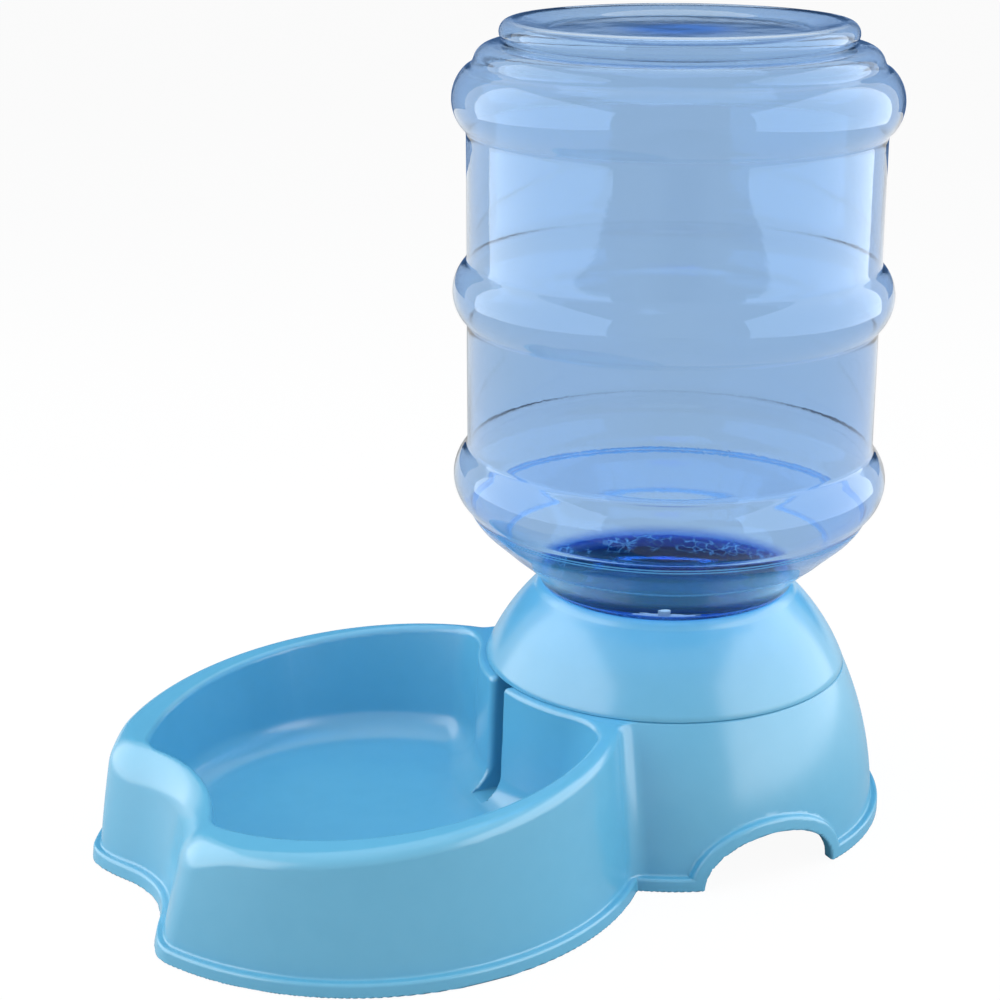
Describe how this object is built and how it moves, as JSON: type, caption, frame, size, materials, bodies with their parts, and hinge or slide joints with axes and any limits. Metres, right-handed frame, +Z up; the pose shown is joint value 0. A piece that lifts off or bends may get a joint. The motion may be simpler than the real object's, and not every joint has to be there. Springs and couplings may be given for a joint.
{
  "type": "gravity pet waterer",
  "caption": "Gravity pet waterer: a moulded bowl with a scooped front, and a clear ribbed bottle standing upside down in a domed collar over a push-up valve.",
  "frame": {"origin": "middle of the base's footprint, on the floor", "axes": "+Z up, -Y towards the drinking bowl's scooped front, +X to the right of the mirror plane when looking along +Y"},
  "size_m": [0.2068, 0.3076, 0.3023],
  "materials": {
    "blue_plastic": "glossy light-blue polypropylene",
    "clear_bottle": "clear pale-blue blown polyester",
    "cap_plastic": "glossy deep-blue polypropylene",
    "white_plastic": "natural white moulded plastic",
    "seal_rubber": "soft dark rubber",
    "spring_steel": "stainless spring wire"
  },
  "bodies": {
    "base": {"base": "blue_plastic", "collar": "blue_plastic", "lift_post": "blue_plastic"},
    "cap": {"valve_cap": "cap_plastic", "spring_cage": "white_plastic", "valve_spring": "spring_steel"},
    "gasket": {"cap_gasket": "seal_rubber"},
    "bottle": {"bottle": "clear_bottle"},
    "plunger": {"valve_stem": "white_plastic", "valve_seal": "seal_rubber"}
  },
  "joints": [
    {"name": "bottle_lift", "type": "slide", "parent": "base", "child": "cap", "axis": [0, 0, 1], "range_m": [0, 0.07]},
    {"name": "bottle_rise", "type": "slide", "parent": "cap", "child": "gasket", "axis": [0, 0, 1], "range_m": [0, 0.006]},
    {"name": "bottle_turn", "type": "hinge", "parent": "gasket", "child": "bottle", "pos_m": [0, 0.06823, 0.07], "axis": [0, 0, 1], "range_deg": [0, 360]},
    {"name": "valve_drop", "type": "slide", "parent": "cap", "child": "plunger", "axis": [0, 0, -1], "range_m": [0, 0.004], "deforming": ["valve_spring"]}
  ],
  "couplings": [
    {"joint": "bottle_rise", "follows": "bottle_turn", "m_per_rad": 0.00095492},
    {"joint": "valve_drop", "follows": "bottle_lift", "ratio": 0.057142}
  ]
}
